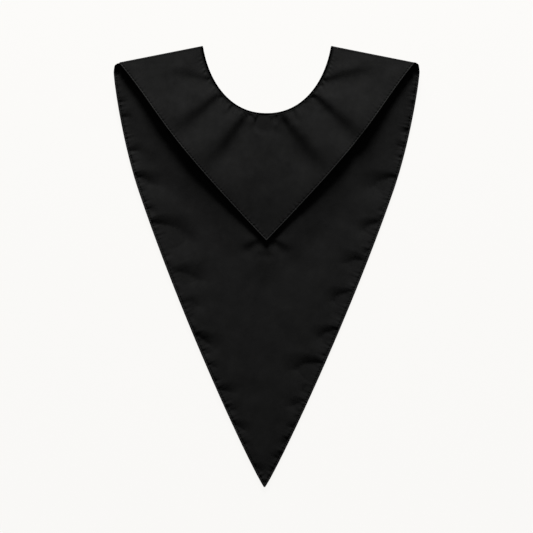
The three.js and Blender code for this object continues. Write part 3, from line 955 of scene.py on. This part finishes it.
finishes = dict(
    # bodyCloth: its rim change darkens the outer edge as painted shade, and its lip change adds a
    # faint painted highlight on the hem's lip
    bodyCloth=dict(colour=(0.0068, 0.0068, 0.0067), roughness=0.86, specular=0.06, mottle=0.31,
                   rim=-0.97, lip=0.12, hem=panelHem),
    # collar: the body's cloth, painted darker as shade against the extra light its lifted slope
    # catches; its lip change is a strong painted highlight along the free edge
    collarClothShadedCopy=dict(colour=(0.0046, 0.0046, 0.0045), roughness=0.86, specular=0.06,
                     mottle=0.38, rim=0.0, lip=2.0, hem=collarHem),
    # the neck seam's roll is painted almost black as the shade line along the neckline
    neckClothPaintedShade=dict(colour=(0.0004, 0.0004, 0.0004), roughness=0.9, specular=0.0, mottle=0.10,
                   rim=0.0),
)
materials = {name: clothMaterial(name, **values) for name, values in finishes.items()}


threadLook = dict(colour=(0.0030, 0.0030, 0.0030), roughness=0.6, specular=0.1,
                  pitch=0.0005, tone=0.15, height=0.05, bump=0.5)


def threadMaterial():
    # spun thread: fine diagonal ridges, a sine of the two coordinates' sum, as height and tone
    look = threadLook
    material, tree, shader = newMaterial("blackThread", look["colour"], look["roughness"],
                                         look["specular"])
    diagonal = calculate(tree, "ADD", *partsOf(tree, objectPlace(tree))[:2])
    turns = product(tree, diagonal, 2 * np.pi / look["pitch"])
    ply = calculate(tree, "SINE", turns)
    tone = scaled(tree, ply, look["tone"], 1.0)
    tree.links.new(tinted(tree, look["colour"], tone), shader.inputs["Base Color"])
    bumped(tree, shader, ply, look["height"] * mm, look["bump"])
    return material


materials["thread"] = threadMaterial()
print("materials made:", sorted(materials))

# each cloth's plan, grid, outer face with its sign, and hem
cloths = dict(
    frontPanel=(frontPanel, panelPlaces, frontTop, 1, panelHem),
    frontCollar=(frontCollar, collarPlaces, frontCollarTop, 1, collarHem),
    backPanel=(backPanel, panelPlaces, backPanelFace, -1, panelHem),
    backCollar=(backCollar, collarPlaces, backCollarFace, -1, collarHem),
)
sheets, grids, stitches = {}, {}, {}
for name, (plan, gridOf, face, faceSign, _) in cloths.items():
    grids[name] = gridOf(name, plan)
    sheets[name] = clothSheet(name, grids[name], face, plan, faceSign)
seam = neckSeamRing("neckSeam")
for name, (_, _, face, faceSign, hem) in cloths.items():
    stitches[name] = stitchRun(name + "Stitches", name, face, faceSign, *hem)

for material, slot, group in (
        ("bodyCloth", "body_cloth", (sheets["frontPanel"], sheets["backPanel"])),
        ("collarClothShadedCopy", "collar_cloth", (sheets["frontCollar"], sheets["backCollar"])),
        ("neckClothPaintedShade", "neck_seam", (seam,)),
        ("thread", "body_cloth", (stitches["frontPanel"], stitches["backPanel"])),
        ("thread", "collar_cloth", (stitches["frontCollar"], stitches["backCollar"]))):
    for piece in group:
        piece.data.materials.append(materials[material])
        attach(piece, "root")
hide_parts("neck_roll")


for name, node, tip, held, under, others in (
        ("frontPanel", "front_panel", frontTip, "laid", ["back_panel"], []),
        ("frontCollar", "front_collar", collarTip, "folded", ["front_panel"], [seam]),
        ("backPanel", "back_panel", backTip, "laid", ["back_collar"], []),
        ("backCollar", "back_collar", backCollarTip, "folded", [], [])):
    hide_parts(node)
print("pieces placed")

# floor, light and camera, in metres; the lens and its sensor in millimetres
stage = dict(
    floorSize=8.0, floorColour=(0.956, 0.947, 0.930), floorGlow=0.97,  # a sheet lit from below
    lightElevation=np.radians(16), lightDistance=2.3, lightWidth=0.9, lightHeight=0.48,
    lightLevel=1.02, skyStrength=0.09,
    lens=100.0, sensor=36.0, viewWidth=0.7542, imageMiddle=(-0.0002, 0.0003),
)


def makeFloor():
    # a square that glows by a share of its colour and reflects the rest
    half = stage["floorSize"] / 2
    corners = [(-half, -half, 0), (half, -half, 0), (half, half, 0), (-half, half, 0)]
    mesh = bpy.data.meshes.new("floor")
    mesh.from_pydata(corners, [], [(0, 1, 2, 3)])
    floor = newObject("floor", mesh)
    litColour = [(1 - stage["floorGlow"]) * part for part in stage["floorColour"]]
    material, tree, shader = newMaterial("paper", litColour, 1, 0)
    glow = {"Emission Color": (*stage["floorColour"], 1), "Emission Strength": stage["floorGlow"]}
    fill(shader, glow)
    mesh.materials.append(material)


def makeLight():
    # a wide soft light low above the shoulders, whose power gives the floor the wanted level
    # by the inverse square and the sine of its elevation
    elevation, distance = stage["lightElevation"], stage["lightDistance"]
    light = bpy.data.lights.new("softWindow", "AREA")
    light.shape = "RECTANGLE"
    light.size = stage["lightWidth"]
    light.size_y = stage["lightHeight"]
    light.energy = (np.pi * distance) ** 2 * stage["lightLevel"] / np.sin(elevation)
    lamp = newObject("softWindow", light)
    lamp.location = (0, distance * np.cos(elevation), distance * np.sin(elevation))
    lamp.rotation_euler = (elevation - np.pi / 2, 0, 0)
    world = bpy.data.worlds.new("dimRoom")
    world.use_nodes = True
    fill(world.node_tree.nodes["Background"],
         {"Color": (1, 1, 1, 1), "Strength": stage["skyStrength"]})
    bpy.context.scene.world = world


def makeCamera():
    # straight above, as far off as the wanted width times lens over sensor
    data = bpy.data.cameras.new("overhead")
    data.lens = stage["lens"]
    data.sensor_width = stage["sensor"]
    camera = newObject("overhead", data)
    distance = stage["viewWidth"] * stage["lens"] / data.sensor_width
    camera.location = (*stage["imageMiddle"], distance)
    bpy.context.scene.camera = camera


makeFloor()
makeLight()
makeCamera()
bpy.context.scene.view_settings.view_transform = "Standard"
print("floor, light and camera made")
